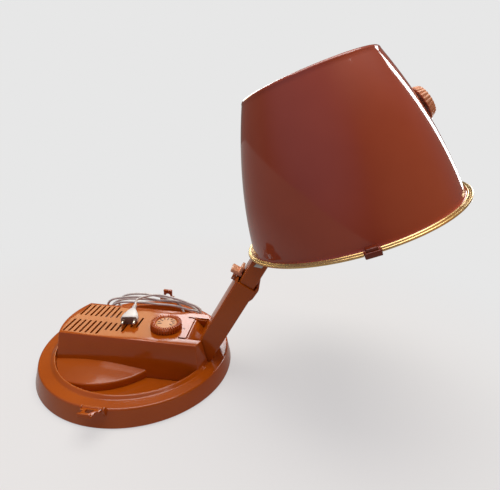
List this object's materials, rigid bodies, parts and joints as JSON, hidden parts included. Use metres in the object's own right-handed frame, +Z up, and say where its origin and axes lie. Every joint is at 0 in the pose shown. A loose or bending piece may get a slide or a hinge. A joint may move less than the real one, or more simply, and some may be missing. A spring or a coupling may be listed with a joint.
{
  "type": "hood hair dryer",
  "caption": "Table-top hood hair dryer: round tray base with slotted fan housing and dial, folding telescopic arm, tilting bonnet hood with gold rim, cord and two-pin plug.",
  "frame": {"origin": "the underside of the middle rubber foot: the centre of the round base at floor level", "axes": "+X from the base's middle towards the arm and hood, +Y away from the user's side with the dial, +Z up"},
  "size_m": [0.6569, 0.3558, 0.5189],
  "materials": {
    "base_plastic": "glossy burnt-orange styrene",
    "hood_plastic": "high-gloss brown styrene",
    "gold_trim": "gold anodised",
    "knob_plastic": "satin tan plastic",
    "black_rubber": "matte",
    "steel": "zinc plated",
    "mains_pins": "nickel plated",
    "grey_plastic": "moulded",
    "mica": "mica board",
    "cord_vinyl": "soft grey PVC",
    "plug_vinyl": "moulded white PVC"
  },
  "bodies": {
    "base": {"base_tray": "base_plastic", "base_plate": "steel", "foot_1": "black_rubber", "foot_2": "black_rubber", "foot_3": "black_rubber", "foot_4": "black_rubber", "foot_5": "black_rubber", "plate_screw_1": "steel", "plate_screw_2": "steel", "plate_screw_3": "steel", "plate_screw_4": "steel", "fan_scroll": "base_plastic", "motor_body": "steel", "motor_bridge": "steel", "housing_cover": "base_plastic", "arm_pin": "steel", "heater_frame": "mica", "heater_coil_front": "steel", "heater_coil_back": "steel", "thermal_cutout": "steel", "rotary_switch": "grey_plastic", "terminal_block": "grey_plastic", "terminal_post": "grey_plastic", "latch_pin_front": "steel", "latch_pin_back": "steel", "cord_gland": "black_rubber", "cord_hank": "cord_vinyl", "cord_lead": "cord_vinyl", "cord_entry": "cord_vinyl", "plug_body": "plug_vinyl", "plug_pin_1": "mains_pins", "plug_pin_2": "mains_pins"},
    "fan": {"fan_impeller": "grey_plastic"},
    "dial": {"dial_knob": "knob_plastic", "dial_spindle": "grey_plastic"},
    "latch_front": {"latch_front": "base_plastic"},
    "latch_back": {"latch_back": "base_plastic"},
    "arm": {"arm_lower_tube": "base_plastic", "arm_collar": "base_plastic"},
    "lever": {"release_lever": "knob_plastic", "lever_pin": "steel"},
    "upper_arm": {"arm_upper_tube": "base_plastic"},
    "hood": {"hood_shell": "hood_plastic", "rim_bead_left": "gold_trim", "rim_bead_right": "gold_trim", "hood_catch_front": "base_plastic", "hood_catch_back": "base_plastic", "hood_bracket": "base_plastic", "hood_pin": "steel", "air_liner": "knob_plastic"},
    "hood_control": {"hood_knob": "knob_plastic", "hood_knob_spindle": "grey_plastic", "vent_disc": "grey_plastic"}
  },
  "joints": [
    {"name": "fan_spin", "type": "hinge", "parent": "base", "child": "fan", "pos_m": [-0.053, 0, 0.02], "axis": [0, 0, 1], "continuous": true},
    {"name": "dial_turn", "type": "hinge", "parent": "base", "child": "dial", "pos_m": [0.053, -0.006, 0.0719], "axis": [0, 0, 1], "range_deg": [0, 240]},
    {"name": "latch_front_swing", "type": "hinge", "parent": "base", "child": "latch_front", "pos_m": [0, -0.1645, 0.034], "axis": [-1, 0, 0], "range_deg": [-90, 64]},
    {"name": "latch_back_swing", "type": "hinge", "parent": "base", "child": "latch_back", "pos_m": [0, 0.1645, 0.034], "axis": [-1, 0, 0], "range_deg": [0, 160]},
    {"name": "arm_tilt", "type": "hinge", "parent": "base", "child": "arm", "pos_m": [0.097, 0, 0.0655], "axis": [0, 1, 0], "range_deg": [-100, 0]},
    {"name": "lever_press", "type": "hinge", "parent": "arm", "child": "lever", "pos_m": [0.16934, 0, 0.18198], "axis": [0, 1, 0], "range_deg": [-12, 0], "stiffness_Nm_per_rad": 0.2, "springref_deg": 6.88},
    {"name": "arm_extend", "type": "slide", "parent": "arm", "child": "upper_arm", "axis": [0.4446, 0, 0.8957], "range_m": [0, 0.07]},
    {"name": "hood_tilt", "type": "hinge", "parent": "upper_arm", "child": "hood", "pos_m": [0.21223, 0, 0.27841], "axis": [0, -1, 0], "range_deg": [-70, 0]},
    {"name": "hood_control_turn", "type": "hinge", "parent": "hood", "child": "hood_control", "pos_m": [0.40896, 0, 0.45267], "axis": [0.7587, 0, 0.6514], "range_deg": [0, 180]}
  ]
}
